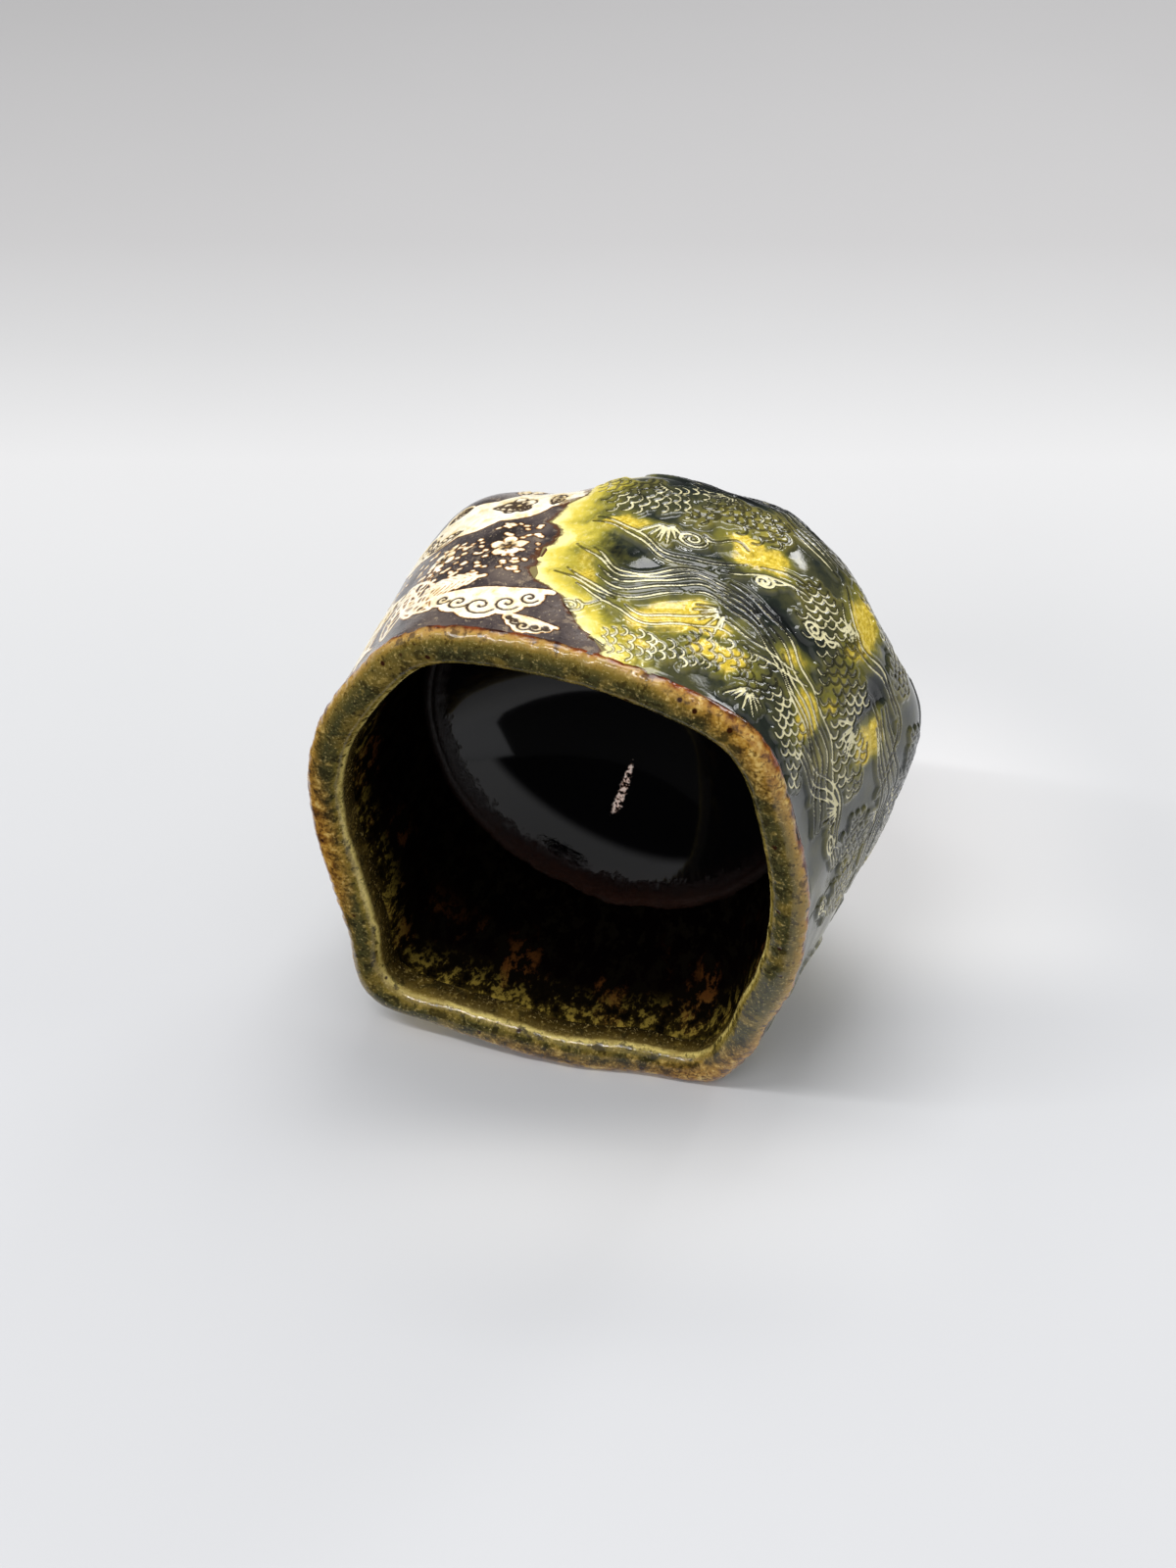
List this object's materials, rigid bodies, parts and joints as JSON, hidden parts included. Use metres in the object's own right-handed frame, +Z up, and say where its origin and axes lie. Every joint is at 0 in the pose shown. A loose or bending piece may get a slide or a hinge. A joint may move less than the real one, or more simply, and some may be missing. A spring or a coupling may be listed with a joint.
{
  "type": "sake cup",
  "caption": "Hand-formed stoneware sake cup with a squarish pulled lip, low foot ring, green and black glazed outside, dark lining and a glossy pool of glaze inside.",
  "frame": {"origin": "centre of the foot ring's resting face, under the middle of the cup's box", "axes": "+Z up through the mouth, +Y along the mouth's longer way towards its lowest stretch of lip, -Y towards the incised side"},
  "size_m": [0.0649, 0.0671, 0.0448],
  "materials": {
    "bare_clay": "fired stoneware, matt and slightly gritty",
    "green_glaze": "glossy copper-green glaze, amber where thin",
    "black_slip": "dark brown slip under a clear glaze",
    "lip_glaze": "olive-cream glaze, rust brown at the edge",
    "inner_lining": "dark mottled olive-brown, semi-matt",
    "pool_glaze": "thick black glossy glaze"
  },
  "bodies": {
    "root": {"clay_wall": "bare_clay", "clay_floor": "bare_clay", "foot_ring": "bare_clay", "inner_glaze": "inner_lining", "glaze_pool": "pool_glaze", "lip_glaze": "lip_glaze", "green_glaze": "green_glaze", "black_slip_panel": "black_slip"}
  },
  "joints": []
}
